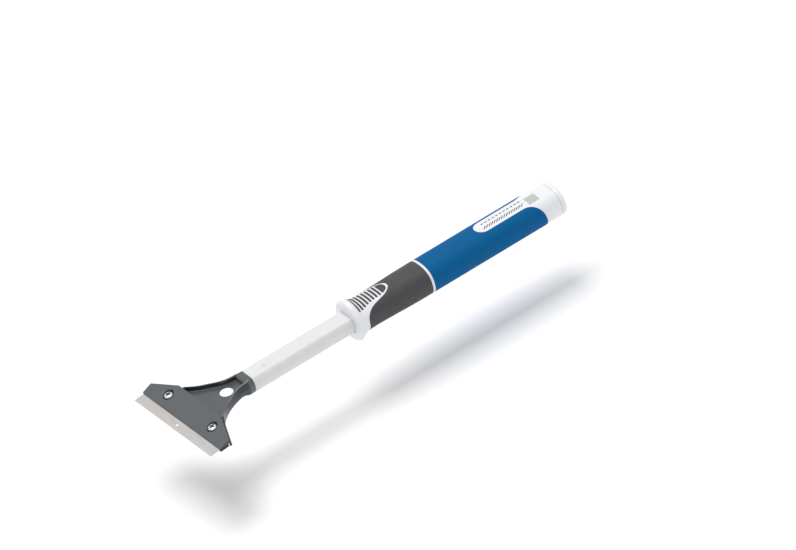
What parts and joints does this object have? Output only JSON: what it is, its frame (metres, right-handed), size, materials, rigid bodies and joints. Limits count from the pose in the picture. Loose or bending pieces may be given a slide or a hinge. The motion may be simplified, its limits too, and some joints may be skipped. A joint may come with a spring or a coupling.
{
  "type": "long handled scraper",
  "caption": "Long-handled painter's scraper: a flat reversible blade clamped in an angled steel head on a flat-topped tube, with a soft two-colour handle and a ribbed thumb rest.",
  "frame": {"origin": "centre of the hanging hole in the head's neck, at half the sheet's thickness", "axes": "+X from the blade towards the handle's end, along the handle; +Z out of the thumb side; +Y across, along the cutting edge"},
  "size_m": [0.3468, 0.102, 0.0336],
  "materials": {
    "blade_steel": "fine ground, matt sheen",
    "head_paint": "satin powder coat",
    "screw_steel": "bright zinc",
    "washer_black": "black oxide",
    "tube_paint": "white satin coat",
    "white_plastic": "soft gloss, moulded",
    "black_rubber": "matt soft touch",
    "blue_rubber": "satin soft touch",
    "grey_plastic": "matt",
    "mark_ink": "matt"
  },
  "bodies": {
    "root": {"blade_holder": "head_paint", "clamp_nut_left": "screw_steel", "clamp_nut_right": "screw_steel", "head_pin": "screw_steel", "tube": "tube_paint", "handle_core": "white_plastic", "handle_pin": "screw_steel", "front_grip": "black_rubber", "thumb_bars_rubber": "black_rubber", "seam_ring": "white_plastic", "rear_grip": "blue_rubber", "panel_marks": "mark_ink", "code_inlay": "grey_plastic", "end_cap": "white_plastic"},
    "blade": {"blade": "blade_steel"},
    "clamp": {"clamp_plate": "head_paint", "washer_left": "washer_black", "washer_right": "washer_black"},
    "screw_left": {"clamp_screw_left": "screw_steel"},
    "screw_right": {"clamp_screw_right": "screw_steel"}
  },
  "joints": [
    {"name": "blade_slide", "type": "slide", "parent": "root", "child": "blade", "axis": [0, 1, 0], "range_m": [-0.1, 0.1]},
    {"name": "clamp_lift", "type": "slide", "parent": "root", "child": "clamp", "axis": [-0.1045, 0, 0.9945], "range_m": [0, 0.002]},
    {"name": "screw_left_turn", "type": "hinge", "parent": "clamp", "child": "screw_left", "pos_m": [-0.03177, 0.0288, 0.00248], "axis": [-0.1045, 0, 0.9945], "range_deg": [0, 1030]},
    {"name": "screw_right_turn", "type": "hinge", "parent": "clamp", "child": "screw_right", "pos_m": [-0.03177, -0.0288, 0.00248], "axis": [-0.1045, 0, 0.9945], "range_deg": [0, 1030]}
  ],
  "couplings": [
    {"joint": "screw_left_turn", "follows": "clamp_lift", "rad_per_m": 8976},
    {"joint": "screw_right_turn", "follows": "clamp_lift", "rad_per_m": 8976}
  ]
}
